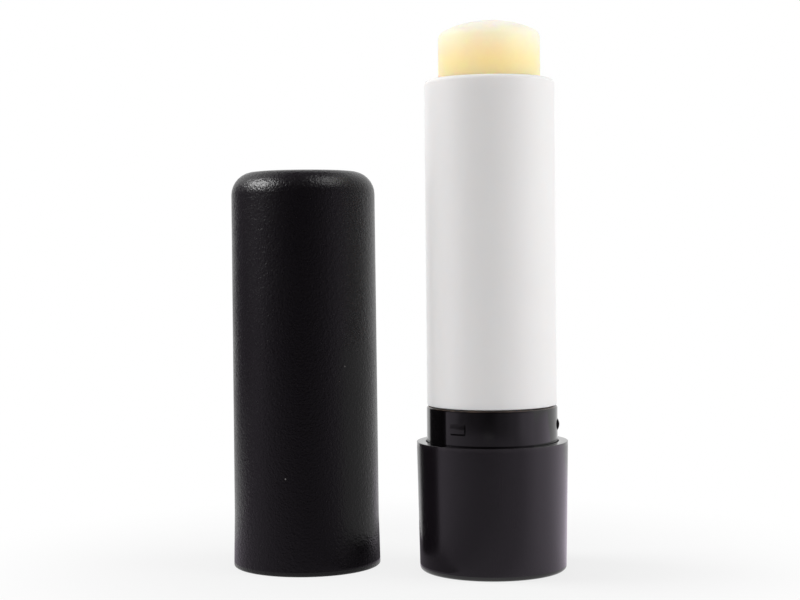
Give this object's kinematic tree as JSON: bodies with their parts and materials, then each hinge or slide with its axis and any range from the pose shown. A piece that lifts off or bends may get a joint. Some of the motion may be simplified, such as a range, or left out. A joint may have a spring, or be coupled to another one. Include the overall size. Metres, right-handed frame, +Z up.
{
  "type": "lip balm stick",
  "caption": "Twist-up lip balm stick: balm in a white tube that turns in a black snap collar and base sleeve to wind it out, with its black pull-off cap standing beside it.",
  "frame": {"origin": "middle of the base sleeve's flat foot, on the axis of the stick", "axes": "+Z up the stick towards the balm, -Y towards the viewer, with the cap standing towards -X"},
  "size_m": [0.0451, 0.0227, 0.0725],
  "materials": {
    "satin_black": "satin, finely frosted",
    "gloss_black": "polished",
    "white_tube": "semi-gloss",
    "natural_white": "as moulded",
    "balm": "waxy, slightly translucent"
  },
  "bodies": {
    "base": {"base_sleeve": "satin_black", "snap_collar": "gloss_black", "spindle": "natural_white"},
    "barrel": {"tube": "white_tube"},
    "carriage": {"elevator": "natural_white", "balm": "balm"},
    "cap": {"cap": "satin_black"}
  },
  "joints": [
    {"name": "twist", "type": "hinge", "parent": "base", "child": "barrel", "pos_m": [0, 0, 0.0217], "axis": [0, 0, 1], "range_deg": [-504, 2016]},
    {"name": "rise", "type": "slide", "parent": "barrel", "child": "carriage", "axis": [0, 0, 1], "range_m": [-0.0084, 0.0336]},
    {"name": "cap_lift", "type": "slide", "parent": "base", "child": "cap", "axis": [0, 0, 1], "range_m": [0, 0.075]}
  ],
  "couplings": [
    {"joint": "rise", "follows": "twist", "m_per_rad": 0.00095493}
  ]
}
